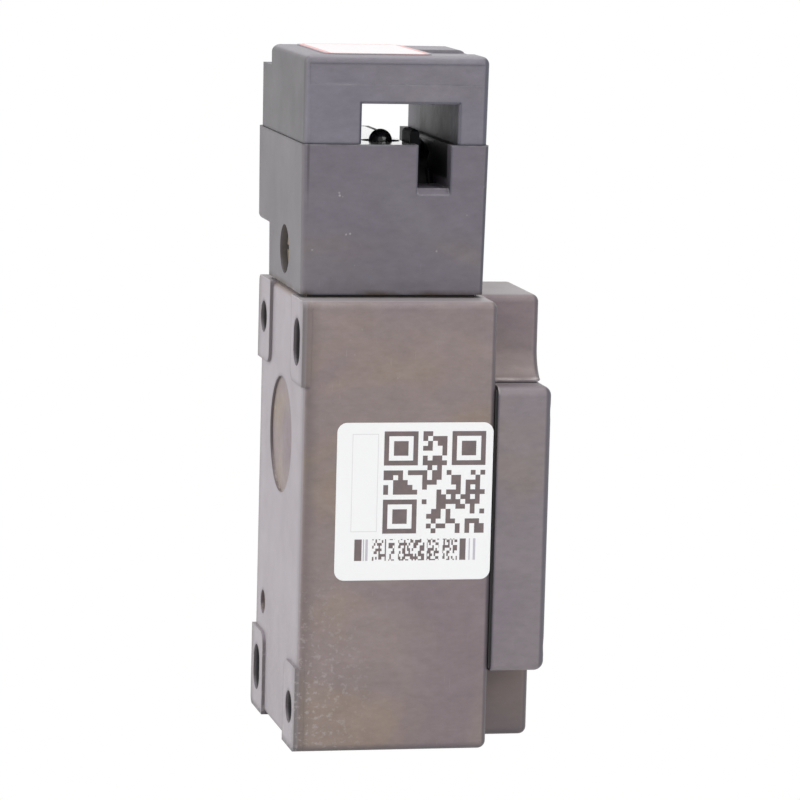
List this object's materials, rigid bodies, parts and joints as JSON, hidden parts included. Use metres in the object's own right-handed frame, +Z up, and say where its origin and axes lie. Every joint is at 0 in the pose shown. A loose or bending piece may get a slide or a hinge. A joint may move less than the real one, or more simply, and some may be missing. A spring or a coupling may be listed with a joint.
{
  "type": "tongue interlock switch",
  "caption": "Upright cast-metal tongue interlock switch: boxed housing with front wiring cover and a turnable head with a through passage, cam wheel and locking plunger.",
  "frame": {"origin": "centre of the conduit entry at the base plane, on the axis that the head turns about", "axes": "+Z up through the head, +Y to the rear mounting face, -Y to the front wiring cover, X across the width along the tongue passage"},
  "size_m": [0.045, 0.0413, 0.1122],
  "materials": {
    "cast_body": "as-cast, tumbled, mottled grey",
    "cast_head": "as-cast, tumbled, cool grey",
    "cast_cover": "as-cast, tumbled, cool grey",
    "rubber": "moulded nitrile",
    "plated_steel": "zinc plated",
    "bright_steel": "ground bright",
    "spring_steel": "drawn wire",
    "brass": "turned",
    "contact_metal": "rolled strip",
    "black_plastic": "glass-filled moulding",
    "black_gloss": "polished moulding",
    "case_plastic": "moulded",
    "carrier_plastic": "moulded"
  },
  "bodies": {
    "housing": {"body_housing": "cast_body", "front_cover": "cast_cover", "cover_gasket": "rubber", "cover_screws": "plated_steel", "head_gasket": "rubber", "plunger_bush": "brass", "plunger_seal": "rubber", "contact_block": "case_plastic", "contact_block_back": "case_plastic", "contact_block_screws": "plated_steel", "fixed_contacts": "contact_metal", "terminal_clamps": "plated_steel", "terminal_screws": "plated_steel", "earth_screw": "brass", "plunger_spring": "spring_steel"},
    "head": {"head_block": "cast_head", "head_cap": "cast_head", "head_cap_screws": "plated_steel", "head_locking_screw": "plated_steel", "guide_plate": "bright_steel", "cam_axle": "bright_steel", "lever_pin": "bright_steel", "lever_spring": "spring_steel", "lock_plunger_spring": "spring_steel"},
    "cam": {"cam_wheel": "black_plastic"},
    "lock_lever": {"lock_lever": "black_plastic"},
    "lock_plunger": {"lock_plunger": "black_gloss"},
    "plunger": {"switch_plunger": "bright_steel", "contact_carrier": "carrier_plastic", "moving_contacts": "contact_metal"}
  },
  "joints": [
    {"name": "head_turn", "type": "hinge", "parent": "housing", "child": "head", "pos_m": [0, 0, 0.0777], "axis": [0, 0, 1], "continuous": true},
    {"name": "cam_turn", "type": "hinge", "parent": "head", "child": "cam", "pos_m": [0.0049, -0.0034, 0.088], "axis": [0, 1, 0], "range_deg": [0, 30]},
    {"name": "lock_lever_tilt", "type": "hinge", "parent": "head", "child": "lock_lever", "pos_m": [0.015, -0.0037, 0.0941], "axis": [0, 1, 0], "range_deg": [-5.4, 0], "stiffness_Nm_per_rad": 0.02, "springref_deg": 5.73, "deforming": ["lever_spring"]},
    {"name": "lock_plunger_slide", "type": "slide", "parent": "head", "child": "lock_plunger", "axis": [0, 0, 1], "range_m": [-0.0019, 0], "stiffness_N_per_m": 300, "springref_m": 0.002, "deforming": ["lock_plunger_spring"]},
    {"name": "plunger_slide", "type": "slide", "parent": "housing", "child": "plunger", "axis": [0, 0, 1], "range_m": [0, 0.00253], "deforming": ["plunger_spring"]}
  ],
  "couplings": [
    {"joint": "cam_turn", "follows": "plunger_slide", "rad_per_m": 206.6}
  ]
}
